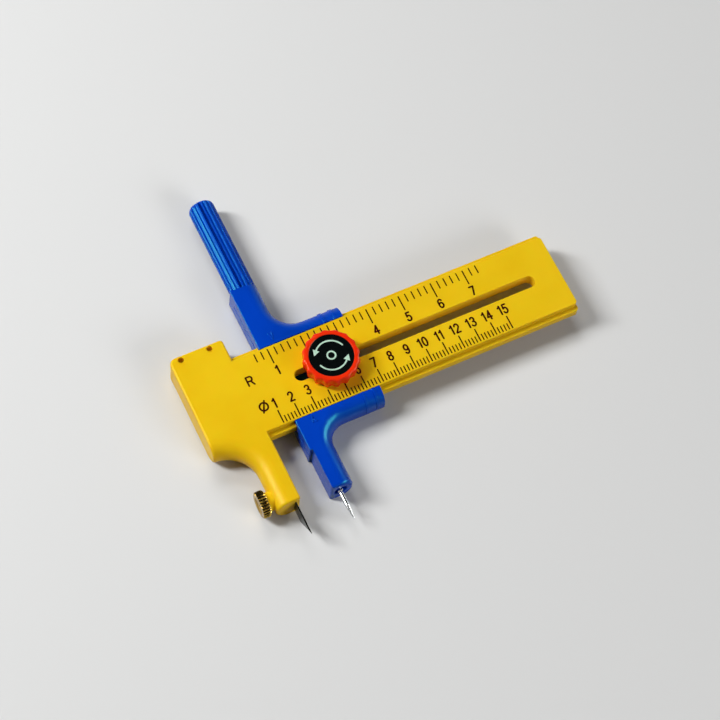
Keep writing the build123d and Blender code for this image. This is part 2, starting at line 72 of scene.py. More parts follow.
# %% [markdown]
# ## Places on the tool
#
# Blender works in metres, and the tool was measured in millimetres, so one millimetre gets
# a name. The scale of the tool starts at the right side of the head. All the print is placed
# from there, and from the centre line of the beam, which runs through the knob's axis.
# These places could be typed in again, but then they might drift from the CAD. Reading them
# from the boxes of the CAD nodes keeps the two in step.

# %% Places
MM = 0.001
HEAD_LENGTH = 16.0 * MM

beam_low, beam_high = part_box("beam_body")
knob_low, knob_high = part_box("knob")
label_low, label_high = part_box("knob_label")
screw_low, screw_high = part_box("knob_screw")
thumb_low, thumb_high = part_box("blade_thumbscrew")

zero_x = beam_low.x + HEAD_LENGTH
line_y = (knob_low.y + knob_high.y) / 2
scale_z = beam_high.z
knob_x = (knob_low.x + knob_high.x) / 2
print(f"zero of the scale at x {zero_x / MM:.2f} mm, centre line at y {line_y / MM:.2f} mm")


def on_scale(reach, across):
    """A place on the scale face, from millimetres along and across the beam."""
    return zero_x + reach * MM, line_y + across * MM


# %% [markdown]
# ## A tidy scene and the view
#
# The new file that Blender opens has a cube, a lamp and a camera of its own. They go first.
# The camera stands above the near left corner and looks steeply down, as it did for the
# photograph. A long lens keeps the sides of the beam nearly parallel. The direction is given
# by two vectors, the one that points to the right in the picture and the one that points
# back to the camera, because three angles in a row are hard to read.

# %% Camera
for stray in [o for o in bpy.data.objects if o.name in ("Cube", "Light", "Camera")]:
    bpy.data.objects.remove(stray)

scene = bpy.context.scene
scene.view_settings.view_transform = "Standard"

CAMERA_RIGHT = Vector((0.896930, -0.435630, 0.075778))
CAMERA_BACK = Vector((-0.246096, -0.349432, 0.904065))
CAMERA_PLACE = Vector((-153.118, -218.237, 542.896)) * MM
LENS = 108.05
SENSOR = 36.0
NEAR_CLIP, FAR_CLIP = 0.01, 10.0

camera_data = bpy.data.cameras.new("camera")
camera_data.lens = LENS
camera_data.sensor_width = SENSOR
camera_data.clip_start = NEAR_CLIP
camera_data.clip_end = FAR_CLIP
camera = bpy.data.objects.new("camera", camera_data)
scene.collection.objects.link(camera)
camera_up = CAMERA_BACK.cross(CAMERA_RIGHT)
turn = Matrix((CAMERA_RIGHT, camera_up, CAMERA_BACK)).transposed()
camera.matrix_world = Matrix.Translation(CAMERA_PLACE) @ turn.to_4x4()
scene.camera = camera
print("camera looks along", [round(-c, 3) for c in CAMERA_BACK])

# %% [markdown]
# ## The floor
#
# The tool lies on a plain pale floor. A white floor throws so much light back up that the
# shaded sides of the tool would look flat. So the floor has two tones. What the camera and
# the reflections see is pale, and the tone that throws light back is darker. The Light Path
# node tells the two kinds of ray apart, and the shadow of the tool stays on the floor.
#
# The Mix node has one set of sockets for numbers and another for colours, which share their
# names. So their places in the node get names here.

# %% Floor
FLOOR_SIZE = 3.0
FLOOR_DROP = 0.02 * MM
PALE = (0.72, 0.73, 0.73)
BOUNCE = (0.36, 0.27, 0.19)
FLOOR_ROUGH = 0.9
FLOOR_GLOSS = 0.1

NUMBER_A, NUMBER_B, NUMBER_OUT = 2, 3, 0
COLOUR_A, COLOUR_B, COLOUR_OUT = 6, 7, 2


def new_finish(name):
    """A new material, with its node tree and its one shader."""
    material = bpy.data.materials.new(name)
    material.use_nodes = True
    tree = material.node_tree
    return material, tree, tree.nodes["Principled BSDF"]


def seen_or_thrown(tree, seen, thrown):
    """A colour for rays that show the surface, and another for light that it throws back.

    The colour that is seen may also come from a node's output."""
    path = tree.nodes.new("ShaderNodeLightPath")
    shows = path.outputs["Is Camera Ray"]
    for kind in ("Is Glossy Ray", "Is Transmission Ray"):
        either = tree.nodes.new("ShaderNodeMath")
        either.operation = "MAXIMUM"
        tree.links.new(shows, either.inputs[0])
        tree.links.new(path.outputs[kind], either.inputs[1])
        shows = either.outputs[0]
    mixer = tree.nodes.new("ShaderNodeMix")
    mixer.data_type = "RGBA"
    mixer.inputs[COLOUR_A].default_value = (*thrown, 1)
    if isinstance(seen, tuple):
        mixer.inputs[COLOUR_B].default_value = (*seen, 1)
    else:
        tree.links.new(seen, mixer.inputs[COLOUR_B])
    tree.links.new(shows, mixer.inputs["Factor"])
    return mixer.outputs[COLOUR_OUT]


def plain_floor():
    """A wide square of matt floor, just below the tool."""
    mesh = bpy.data.meshes.new("floor")
    half = FLOOR_SIZE / 2
    corners = [(-half, -half), (half, -half), (half, half), (-half, half)]
    mesh.from_pydata([(x, y, -FLOOR_DROP) for x, y in corners], [], [(0, 1, 2, 3)])
    floor = bpy.data.objects.new("floor", mesh)
    scene.collection.objects.link(floor)
    matte, tree, shader = new_finish("pale_floor")
    tree.links.new(seen_or_thrown(tree, PALE, BOUNCE), shader.inputs["Base Color"])
    shader.inputs["Roughness"].default_value = FLOOR_ROUGH
    shader.inputs["Specular IOR Level"].default_value = FLOOR_GLOSS
    mesh.materials.append(matte)
    return floor


floor = plain_floor()
print("floor:", floor.name, "side", FLOOR_SIZE, "m")

# %% [markdown]
# ## The light
#
# The strongest soft box stands at the left and far back, so the shadows fall to the right and
# towards the camera. A weaker one low on the near side lifts the near side of the beam. A
# third one high behind evens out the top. The slot lies across them all, so the floor in it
# stays dark. Together the lamps and the sky give about one unit of light on a level face, so
# that a colour renders as written.
#
# The broad bright lines on the grip and on the inner curve of the near flange need wide
# panels, and lamps of that size would wash out the shadows. So the work is split. The three
# boxes throw the light and don't show in the gloss. Two wide gleam panels show in the gloss
# and throw no light. A hot little lamp in the gloss of the thin flutes would also be grainy.
# The panels stand nearly as high as the main lamp: a low and bright panel would wash out the
# flat top for anyone who looks from the other side at a low angle.
#
# The room is pale near the horizon, where a low camera sees it, and dark overhead. The dark
# ceiling is what the flat top of the tool mirrors, and it keeps the blue and the black deep.
# Heights in the room are given as the upward part of a direction, from 0 at the horizon to 1
# straight overhead.

# %% World and lamps
SKY = (0.05, 0.04, 0.032)
BACKDROP = (0.62, 0.64, 0.66)
CEILING = (0.02, 0.02, 0.02)
PALE_UP_TO, DARK_FROM = 0.25, 0.75


def soft_box(name, place, target, size, power, gleam=False):
    """An area lamp at a place, facing a target. It throws light or shows in the gloss."""
    data = bpy.data.lights.new(name, "AREA")
    data.shape = "RECTANGLE"
    data.size, data.size_y = size
    data.energy = power
    lamp = bpy.data.objects.new(name, data)
    scene.collection.objects.link(lamp)
    lamp.visible_diffuse = not gleam
    lamp.visible_glossy = gleam
    lamp.location = place
    lamp.rotation_mode = "QUATERNION"
    lamp.rotation_quaternion = (Vector(target) - Vector(place)).to_track_quat("-Z", "Y")
    return lamp


soft_box("left_box", (-0.60, 0.38, 0.66), (-0.02, 0, 0), (0.18, 0.44), 8.3)
soft_box("near_box", (0.42, -0.82, 0.46), (0.02, 0, 0), (0.52, 0.34), 4.0)
soft_box("back_box", (0.04, 0.74, 0.86), (0, 0, 0), (0.46, 0.24), 3.2)
soft_box("left_gleam", (-0.77, 0.36, 0.52), (-0.03, 0.01, 0), (0.46, 0.44), 11.5, True)
soft_box("right_gleam", (0.79, -0.28, 0.54), (0.01, 0, 0), (1.00, 0.42), 14.0, True)

world = bpy.data.worlds.new("pale_world")
world.use_nodes = True
tree = world.node_tree
direction = tree.nodes.new("ShaderNodeTexCoord")
parts = tree.nodes.new("ShaderNodeSeparateXYZ")
height = tree.nodes.new("ShaderNodeMapRange")
height.interpolation_type = "SMOOTHSTEP"
height.inputs["From Min"].default_value = PALE_UP_TO
height.inputs["From Max"].default_value = DARK_FROM
shade = tree.nodes.new("ShaderNodeMix")
shade.data_type = "RGBA"
shade.inputs[COLOUR_A].default_value = (*BACKDROP, 1)
shade.inputs[COLOUR_B].default_value = (*CEILING, 1)
tree.links.new(direction.outputs["Generated"], parts.inputs["Vector"])
tree.links.new(parts.outputs["Z"], height.inputs["Value"])
tree.links.new(height.outputs["Result"], shade.inputs["Factor"])
background = tree.nodes["Background"]
tree.links.new(seen_or_thrown(tree, shade.outputs[COLOUR_OUT], SKY), background.inputs["Color"])
background.inputs["Strength"].default_value = 1.0
scene.world = world

# %% [markdown]
# ## Moulded plastic
#
# The three coloured mouldings are the same sort of material in three colours. A moulding
# isn't one flat colour: the pigment is a little uneven, the skin has a fine grain, and
# every sharp edge is in fact a small rounding that catches light. An image could carry all
# this, but it would have to be unwrapped onto each solid. Noise that is worked out from the
# place in space needs no unwrapping, and the Bevel node rounds the edges in the shading
# only, so the solids stay as they are.

# %% Moulded plastic
NOISE_LOW, NOISE_HIGH = 0.35, 0.65
PIGMENT_SCALE = 60.0
PATCH_SCALE = 240.0
GRAIN_SCALE = 900.0
PLASTIC_SAMPLES = 12
PLASTIC_IOR = 1.33
GLOW_COLOURS = (1.0, 0.45, 0.12)
GLOW_DEPTH = 0.9 * MM


def link(tree, source, output, target, entry):
    """Joins a named output of one node to a named entry of another."""
    tree.links.new(source.outputs[output], target.inputs[entry])


def noise(tree, scale, detail):
    """Noise in object space, the same from every side."""
    coords = tree.nodes.new("ShaderNodeTexCoord")
    texture = tree.nodes.new("ShaderNodeTexNoise")
    texture.inputs["Scale"].default_value = scale
    texture.inputs["Detail"].default_value = detail
    link(tree, coords, "Object", texture, "Vector")
    return texture


def ramp(tree, source, low, high):
    """Stretches a noise to run between two values or colours."""
    mixer = tree.nodes.new("ShaderNodeMix")
    if isinstance(low, tuple):
        mixer.data_type = "RGBA"
        mixer.inputs[COLOUR_A].default_value = (*low, 1)
        mixer.inputs[COLOUR_B].default_value = (*high, 1)
        out = COLOUR_OUT
    else:
        mixer.data_type = "FLOAT"
        mixer.inputs[NUMBER_A].default_value = low
        mixer.inputs[NUMBER_B].default_value = high
        out = NUMBER_OUT
    spread = tree.nodes.new("ShaderNodeMapRange")
    spread.inputs["From Min"].default_value = NOISE_LOW
    spread.inputs["From Max"].default_value = NOISE_HIGH
    link(tree, source, "Fac", spread, "Value")
    link(tree, spread, "Result", mixer, "Factor")
    return mixer.outputs[out]


def edge_and_relief(tree, shader, edge, samples, texture, depth):
    """Rounded edges and the fine relief of a texture, both in the shading normal."""
    soft_edge = tree.nodes.new("ShaderNodeBevel")
    soft_edge.samples = samples
    soft_edge.inputs["Radius"].default_value = edge
    bump = tree.nodes.new("ShaderNodeBump")
    bump.inputs["Distance"].default_value = depth
    bump.inputs["Strength"].default_value = 1.0
    link(tree, texture, "Fac", bump, "Height")
    link(tree, soft_edge, "Normal", bump, "Normal")
    link(tree, bump, "Normal", shader, "Normal")


def moulded(name, deep, bright, gloss, shine, sheen, edge, grain, depth=0.0):
    """A moulded plastic.

    It takes two near colours, two near roughnesses, how strong the gloss is and in which
    colour, the rounding of the edges, the height of the grain and how much light goes in."""
    material, tree, shader = new_finish(name)
    pigment = noise(tree, PIGMENT_SCALE, 2.0)
    patches = noise(tree, PATCH_SCALE, 3.0)
    tree.links.new(ramp(tree, pigment, deep, bright), shader.inputs["Base Color"])
    tree.links.new(ramp(tree, patches, *gloss), shader.inputs["Roughness"])
    shader.inputs["IOR"].default_value = PLASTIC_IOR
    shader.inputs["Specular IOR Level"].default_value = shine
    shader.inputs["Specular Tint"].default_value = (*sheen, 1)
    shader.inputs["Subsurface Weight"].default_value = depth
    shader.inputs["Subsurface Radius"].default_value = GLOW_COLOURS
    shader.inputs["Subsurface Scale"].default_value = GLOW_DEPTH
    fine = noise(tree, GRAIN_SCALE, 3.0)
    edge_and_relief(tree, shader, edge, PLASTIC_SAMPLES, fine, grain)
    return material


yellow = moulded(
    "yellow_moulding", (0.815, 0.515, 0.005), (0.855, 0.565, 0.008), (0.34, 0.40), 0.6,
    (1.0, 0.88, 0.36), 0.18 * MM, 0.0002 * MM, 0.25,
)
blue = moulded(
    "blue_moulding", (0.0004, 0.044, 0.47), (0.0008, 0.052, 0.53), (0.23, 0.27), 0.8,
    (0.08, 1.0, 0.60), 0.12 * MM, 0.0001 * MM,
)
red = moulded(
    "red_moulding", (0.82, 0.022, 0.003), (0.90, 0.034, 0.005), (0.18, 0.24), 0.6,
    (1.0, 0.60, 0.36), 0.12 * MM, 0.0003 * MM, 0.06,
)
washer_white = moulded(
    "washer_moulding", (0.70, 0.70, 0.66), (0.78, 0.78, 0.74), (0.40, 0.50), 0.5,
    (1.0, 1.0, 1.0), 0.05 * MM, 0.0005 * MM,
)
print("plastics:", yellow.name, blue.name, red.name, washer_white.name)

# %% [markdown]
# ## Turned and ground metal
#
# The brass thumbscrew was turned on a lathe, so it carries fine rings round its axis. The
# blade was ground, and the needle was drawn and turned. One helper makes all of them:
# a metal with thin streaks across one direction. Stretching a noise along an axis gives
# streaks, and it costs less than a wave texture that would look too even. The brass and
# the blade are held darker than bare metal: a painted dark reflection, and on the blade
# painted shade as well.

# %% Metals
METAL_EDGE = 0.05 * MM
METAL_SAMPLES = 4
STREAK_DEPTH = 0.001 * MM


def metal(name, bright, dark, rough, stretch):
    """A metal with fine streaks: stretch scales the noise along X, Y and Z."""
    material, tree, shader = new_finish(name)
    shader.inputs["Metallic"].default_value = 1.0
    coords = tree.nodes.new("ShaderNodeTexCoord")
    stretcher = tree.nodes.new("ShaderNodeMapping")
    stretcher.inputs["Scale"].default_value = stretch
    streaks = tree.nodes.new("ShaderNodeTexNoise")
    streaks.inputs["Scale"].default_value = 1.0
    streaks.inputs["Detail"].default_value = 4.0
    link(tree, coords, "Object", stretcher, "Vector")
    link(tree, stretcher, "Vector", streaks, "Vector")
    tree.links.new(ramp(tree, streaks, dark, bright), shader.inputs["Base Color"])
    tree.links.new(ramp(tree, streaks, *rough), shader.inputs["Roughness"])
    edge_and_relief(tree, shader, METAL_EDGE, METAL_SAMPLES, streaks, STREAK_DEPTH)
    return material


# The brass tones are held darker than bright brass: a painted dark reflection, in place of the
# dark surroundings that polished brass would mirror. The streaks between them are the turned
# rings.
brass = metal(
    "turned_brass_painted_dark_reflection", (0.62, 0.42, 0.09), (0.26, 0.15, 0.025), (0.12, 0.20), (7000, 400, 400)
)
# The blade's two tones are held far darker than bare ground steel: painted shade and a painted
# dark reflection in the metal's own colour. The spare blades share this finish.
blade_steel_painted_dark = metal(
    "ground_blade_painted_shade", (0.07, 0.08, 0.076), (0.035, 0.04, 0.038), (0.20, 0.32), (500, 900, 9000)
)
needle_steel = metal(
    "drawn_needle", (0.72, 0.73, 0.74), (0.52, 0.53, 0.54), (0.12, 0.22), (500, 7000, 500)
)
zinc = metal(
    "zinc_plate", (0.60, 0.61, 0.64), (0.42, 0.43, 0.45), (0.26, 0.40), (2500, 2500, 2500)
)
print("metals:", brass.name, blade_steel_painted_dark.name, needle_steel.name, zinc.name)

# %% [markdown]
# ## Ink and label
#
# The scale is pad printed in a dark brown ink. The ink is a thin matt skin. The disc in
# the knob is a black printed label. A black thing with much gloss would look grey under
# the sky, so its gloss is held low.

# %% Ink and label
SPOT_SCALE = 1800.0


def inked(name, deep, bright, rough, gloss):
    """An ink with fine spots: two near colours, two near roughnesses and its gloss."""
    material, tree, shader = new_finish(name)
    spots = noise(tree, SPOT_SCALE, 3.0)
    tree.links.new(ramp(tree, spots, deep, bright), shader.inputs["Base Color"])
    tree.links.new(ramp(tree, spots, *rough), shader.inputs["Roughness"])
    shader.inputs["Specular IOR Level"].default_value = gloss
    return material


ink = inked("brown_ink", (0.034, 0.0022, 0.0006), (0.052, 0.0042, 0.0011), (0.55, 0.70), 0.04)
label_black = inked(
    "label_black", (0.0012, 0.0022, 0.0022), (0.0024, 0.004, 0.004), (0.34, 0.42), 0.04
)
label_white = inked("label_white", (0.44, 0.66, 0.52), (0.55, 0.76, 0.63), (0.45, 0.60), 0.3)
print("inks:", ink.name, label_black.name, label_white.name)

# %% [markdown]
# ## Finishes on the CAD nodes
#
# A node that already has the right shape stays, and only gets its finish. Its material
# slots are filled one by one, so that no slot keeps the plain colour of the import.

# %% Finishes for the nodes
FINISHES = {
    "beam_body": yellow,
    "storage_lid": yellow,
    "spare_blades": blade_steel_painted_dark,
    "blade": blade_steel_painted_dark,
    "blade_nut": brass,
    "blade_thumbscrew": brass,
    "slider_shell": blue,
    "slider_cover": blue,
    "cover_screws": zinc,
    "needle": needle_steel,
    "knob": red,
    "knob_label": label_black,
    "knob_screw": zinc,
    "washer": washer_white,
    "clamp_nut": zinc,
}

for name, finish in FINISHES.items():
    slots = nodes[name].data.materials
    if not slots:
        slots.append(finish)
    for index in range(len(slots)):
        slots[index] = finish
print("finished:", len(FINISHES), "nodes")

# %% [markdown]
# ## A helper for turned pieces
#
# The knob, the thumbscrew and the needle are round, and the first two have lobes or teeth
# on the rim. The Screw or Spin tools turn a profile, but they can't make the radius swell
# and shrink on the way round. So the points are laid one by one: the whole profile once for
# each step of the angle, and a dent function that says how far each point is drawn in.

# %% Turned pieces
SMOOTH_BELOW = math.radians(38)


def finished_mesh(name, build):
    """Turns a bmesh into a mesh of that name, and lets go of the bmesh."""
    mesh = bpy.data.meshes.new(name)
    build.to_mesh(mesh)
    build.free()
    return mesh


def add_piece(name, mesh, finish, body):
    """Puts a mesh in the scene as a piece that rides on a body."""
    piece = bpy.data.objects.new(name, mesh)
    scene.collection.objects.link(piece)
    mesh.materials.clear()
    mesh.materials.append(finish)
    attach(piece, body)
    return piece


def turned(name, profile, steps, dent):
    """A solid turned round Z from a closed loop of (radius, height) corners.

    dent(corner, angle) says how far a corner of the profile is drawn in at an angle."""
    build = bmesh.new()
    rings = []
    for step in range(steps):
        angle = 2 * math.pi * step / steps
        ring = []
        for corner, (radius, height) in enumerate(profile):
            drawn = radius - dent(corner, angle)
            place = (drawn * math.cos(angle), drawn * math.sin(angle), height)
            ring.append(build.verts.new(place))
        rings.append(ring)
    count = len(profile)
    for step in range(steps):
        here, there = rings[step], rings[(step + 1) % steps]
        for corner in range(count):
            after = (corner + 1) % count
            build.faces.new((here[corner], there[corner], there[after], here[after]))
    bmesh.ops.recalc_face_normals(build, faces=build.faces)
    mesh = finished_mesh(name, build)
    mesh.shade_smooth()
    mesh.set_sharp_from_angle(angle=SMOOTH_BELOW)
    return mesh


def rounded(start, corner, end, steps):
    """Points of a soft corner: a quadratic curve that leaves start and reaches end."""
    points = []
    for step in range(steps + 1):
        t = step / steps
        a, b, c = (1 - t) ** 2, 2 * t * (1 - t), t * t
        points.append(tuple(a * s + b * m + c * e for s, m, e in zip(start, corner, end)))
    return points


print("helpers: finished_mesh, add_piece, turned, rounded")

# %% [markdown]
# ## The knob
#
# The knob is one red moulding. Its rim is a soft round ring that holds the black disc,
# and its skirt leans in and carries sixteen lobes for the fingers. Cutting sixteen
# cylinders out of a disc leaves sharp ridges between them, which a mould maker would
# never leave. Here the skirt swells and shrinks in a smooth wave instead, and the wave
# dies away before it reaches the top of the rim.

# %% Knob
LOBES = 16
STEPS_PER_LOBE = 14
VALLEY = 0.60 * MM
WAVE_POWER = 0.9
KNOB_RADIUS = 8.08 * MM
KNOB_FOOT = 7.72 * MM
FOOT_EDGE = 0.25 * MM
SKIRT_RINGS = 7
RIM_DROP = 1.5 * MM
RIM_LEAN = 0.02 * MM
RIM_INNER = 6.95 * MM
LIP_OUTER = 6.75 * MM
LIP_DROP = 0.16 * MM
SIDE_ROOM = 0.05 * MM
SEAT_ROOM = 0.04 * MM
SCREW_HEAD_ROOM = 1.85 * MM
SHANK_ROOM = 1.55 * MM

knob_base, knob_top = knob_low.z, knob_high.z
recess = label_high.x - knob_x + SIDE_ROOM
recess_z = label_low.z - SEAT_ROOM
screw_room = (screw_high.x - screw_low.x) / 2 + SIDE_ROOM
screw_seat = screw_high.z - SCREW_HEAD_ROOM
foot_z = knob_base + FOOT_EDGE
shoulder_z = knob_top - RIM_DROP

skirt = [(KNOB_FOOT - FOOT_EDGE, knob_base), (KNOB_FOOT, foot_z)]
for ring in range(1, SKIRT_RINGS + 1):
    share = ring / SKIRT_RINGS
    radius = KNOB_FOOT + (KNOB_RADIUS - KNOB_FOOT) * share
    skirt.append((radius, foot_z + (shoulder_z - foot_z) * share))
rim = rounded(
    (KNOB_RADIUS, shoulder_z), (KNOB_RADIUS - RIM_LEAN, knob_top), (RIM_INNER, knob_top), 8
)[1:]
lip = rounded((LIP_OUTER, knob_top), (recess, knob_top), (recess, knob_top - LIP_DROP), 4)
inside = [
    (recess, recess_z),
    (screw_room, recess_z),
    (screw_room, screw_seat),
    (SHANK_ROOM, screw_seat),
    (SHANK_ROOM, knob_base),
]
knob_profile = skirt + rim + lip + inside
skirt_count, rim_count = len(skirt), len(rim)


def lobed(corner, angle):
    """How far the skirt is drawn in between two lobes."""
    wave = (0.5 + 0.5 * math.cos(LOBES * angle)) ** WAVE_POWER
    if corner < skirt_count:
        fade = 1.0
    elif corner < skirt_count + rim_count:
        fade = 1 - (corner - skirt_count + 1) / rim_count
        fade = fade * fade * (3 - 2 * fade)
    else:
        return 0.0
    return VALLEY * wave * fade


knob_mesh = turned("finger_knob", knob_profile, LOBES * STEPS_PER_LOBE, lobed)
for vertex in knob_mesh.vertices:
    vertex.co.x += knob_x
    vertex.co.y += line_y
finger_knob = add_piece("finger_knob", knob_mesh, red, "clamp")
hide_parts("knob")
print("knob:", len(knob_mesh.polygons), "faces,", LOBES, "lobes")

# %% [markdown]
# ## The thumbscrew
#
# The brass thumbscrew has a thick round head with straight teeth, which a knurling wheel
# pressed into it, and a bevel at each rim where the lathe cut the burr away. Its end face
# is dished a little, and the shank runs through the arm to the square nut. The same
# helper turns it round Z, and then it is laid over to point along the tool's X.

# %% Thumbscrew
TEETH = 28
STEPS_PER_TOOTH = 8
TOOTH = 0.38 * MM
HEAD_RADIUS = 3.78 * MM
HEAD_THICK = 2.38 * MM
BEVEL = 0.36 * MM
DISH = 2.5 * MM
DISH_DEPTH = 0.35 * MM
DISH_SLOPE = 0.45 * MM
SHANK = 1.24 * MM
SHANK_BEVEL = 0.22 * MM
PIN_HOLE = 0.30 * MM
FINE_EDGE = 0.12 * MM

thumb_y = (thumb_low.y + thumb_high.y) / 2
thumb_z = (thumb_low.z + thumb_high.z) / 2
thumb_length = thumb_high.x - thumb_low.x

thumb_profile = [
    (PIN_HOLE, DISH_DEPTH + FINE_EDGE),
    (PIN_HOLE + 0.15 * MM, DISH_DEPTH),
    (DISH - DISH_SLOPE, DISH_DEPTH),
    (DISH, 0.02 * MM),
    (DISH + FINE_EDGE, 0.0),
    (HEAD_RADIUS - BEVEL, 0.0),
    (HEAD_RADIUS, BEVEL),
    (HEAD_RADIUS, HEAD_THICK / 2),
    (HEAD_RADIUS, HEAD_THICK - BEVEL),
    (HEAD_RADIUS - BEVEL, HEAD_THICK),
    (SHANK + 0.15 * MM, HEAD_THICK),
    (SHANK, HEAD_THICK + FINE_EDGE),
    (SHANK, thumb_length - SHANK_BEVEL),
    (SHANK - SHANK_BEVEL, thumb_length),
    (PIN_HOLE, thumb_length - 0.03 * MM),
]
RIM_CORNERS = (6, 7, 8)


def knurled(corner, angle):
    """Straight teeth with pointed tops, on the rim alone."""
    if corner not in RIM_CORNERS:
        return 0.0
    return TOOTH * abs(math.sin(TEETH * angle / 2 + math.pi / 2))


thumb_mesh = turned("knurled_thumbscrew", thumb_profile, TEETH * STEPS_PER_TOOTH, knurled)
for vertex in thumb_mesh.vertices:
    across, up, along = vertex.co
    vertex.co = (thumb_low.x + along, thumb_y + across, thumb_z + up)
knurled_thumbscrew = add_piece(
    "knurled_thumbscrew", thumb_mesh, brass, "thumbscrew"
)
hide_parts("blade_thumbscrew")
print("thumbscrew:", TEETH, "teeth, length", round(thumb_length / MM, 2), "mm")

# %% [markdown]
# ## The needle
#
# The CAD has the needle as a stepped pin with a short cone. A turned needle is softer than
# that: a thick root in the arm, a straight shank, and then one long taper down to the point.
# The steps of the CAD could be smoothed with a bevel, but a bevel would round the point as
# well. So the same helper turns a finer profile of the same length and the same root.

# %% Needle
ROOT_RADIUS = 0.8 * MM
SHANK_RADIUS = 0.62 * MM
ROOT_LENGTH = 9.1 * MM
SHANK_END = 13.4 * MM
TAPER_RINGS = 15
TAPER_POWER = 0.85
TIP_RADIUS = 0.03 * MM
CORE_RADIUS = 0.02 * MM
NEEDLE_STEPS = 48

needle_low, needle_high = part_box("needle")
needle_x = (needle_low.x + needle_high.x) / 2
needle_z = (needle_low.z + needle_high.z) / 2
needle_length = needle_high.y - needle_low.y

taper = []
for ring in range(1, TAPER_RINGS):
    share = ring / TAPER_RINGS
    radius = SHANK_RADIUS * (1 - share) ** TAPER_POWER + TIP_RADIUS * share
    taper.append((radius, SHANK_END + (needle_length - SHANK_END) * share))
needle_profile = [
    (CORE_RADIUS, 0.0),
    (ROOT_RADIUS - 0.1 * MM, 0.0),
    (ROOT_RADIUS, 0.1 * MM),
    (ROOT_RADIUS, ROOT_LENGTH - 0.12 * MM),
    (ROOT_RADIUS - 0.12 * MM, ROOT_LENGTH),
    (SHANK_RADIUS, ROOT_LENGTH),
    (SHANK_RADIUS, SHANK_END - 0.3 * MM),
    *taper,
    (TIP_RADIUS, needle_length),
    (CORE_RADIUS, needle_length),
]


def undented(corner, angle):
    """A plain round piece isn't drawn in anywhere."""
    return 0.0


needle_mesh = turned("turned_needle", needle_profile, NEEDLE_STEPS, undented)
for vertex in needle_mesh.vertices:
    across, up, along = vertex.co
    vertex.co = (needle_x + across, needle_high.y - along, needle_z + up)
turned_needle = add_piece("turned_needle", needle_mesh, needle_steel, "slider")
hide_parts("needle")
print("needle:", round(needle_length / MM, 2), "mm long,", len(needle_mesh.polygons), "faces")

# %% [markdown]
# ## The printed ticks
#
# Two scales run along the beam. The far one gives the radius, with a tick for each two
# millimetres and a long one for each centimetre. The near one gives the diameter, so its
# ticks stand one millimetre apart on the beam and every fifth is long. Ticks could be a
# striped texture, but a texture blurs when the camera comes close. Each tick is a
# very flat box instead, and all the ticks of one scale are one mesh.

# %% Ticks
INK_HEIGHT = 0.02 * MM
INK_ROOT = 0.01 * MM
TICK_WIDTH = 0.35 * MM
LONG_WIDTH = 0.38 * MM
FAR_EDGE, NEAR_EDGE = 10.70, -10.95
LAST_TICK = 75


def flat_prism(build, outline, low, high):
    """One flat solid between two heights, over an outline of points in the plan."""
    under = [build.verts.new((x, y, low)) for x, y in outline]
    over = [build.verts.new((x, y, high)) for x, y in outline]
    build.faces.new(over)
    build.faces.new(under[::-1])
    for here in range(len(outline)):
        there = (here + 1) % len(outline)
        build.faces.new((under[here], under[there], over[there], over[here]))


def ticks(name, places, start, short, long, long_each):
    """Ticks from one edge towards the middle of the beam, long ones where asked."""
    build = bmesh.new()
    for place in places:
        is_long = place % long_each == 0
        x, y = on_scale(place, start)
        end = y + (long if is_long else short) * MM
        half = (LONG_WIDTH if is_long else TICK_WIDTH) / 2
        near, far = min(y, end), max(y, end)
        corners = [(x - half, near), (x + half, near), (x + half, far), (x - half, far)]
        flat_prism(build, corners, scale_z - INK_ROOT, scale_z + INK_HEIGHT)
    return add_piece(name, finished_mesh(name, build), ink, "beam")


radius_ticks = ticks(
    "radius_ticks", range(6, LAST_TICK + 1, 2), FAR_EDGE, short=-2.55, long=-4.60, long_each=10
)
diameter_ticks = ticks(
    "diameter_ticks", range(5, LAST_TICK + 1), NEAR_EDGE, short=2.0, long=4.05, long_each=5
)
counts = [len(piece.data.polygons) // 6 for piece in (radius_ticks, diameter_ticks)]
print("ticks:", counts[0], "for the radius and", counts[1], "for the diameter")

# %% [markdown]
# ## Strokes of ink
#
# The figures on the tool are drawn with a pen of even width, like a draughtsman's stencil.
# A text object would bring its own font, whose strokes are thinner and whose 1 has no
# flag. So each figure is a few strokes on a grid one unit high. A stroke becomes a flat
# ribbon with round ends, and a stroke that comes back to its start becomes a flat ring.

# %% Ribbons
CAP_STEPS = 8
LAYER = 0.0015 * MM


def arc(x, y, wide, high, start, end, steps=18):
    """Points on an ellipse between two angles in degrees."""
    points = []
    for step in range(steps + 1):
        angle = math.radians(start + (end - start) * step / steps)
        points.append((x + wide * math.cos(angle), y + high * math.sin(angle)))
    return points


def flat_ring(build, outer, inner, low, high):
    """One flat ring between two heights, from two closed outlines of as many points."""
    count = len(outer)
    under = [[build.verts.new((x, y, low)) for x, y in outline] for outline in (outer, inner)]
    over = [[build.verts.new((x, y, high)) for x, y in outline] for outline in (outer, inner)]
    for here in range(count):
        there = (here + 1) % count
        for foot, top in zip(under, over):
            build.faces.new((foot[here], foot[there], top[there], top[here]))
        for level in (over, under):
            build.faces.new((level[0][here], level[0][there], level[1][there], level[1][here]))


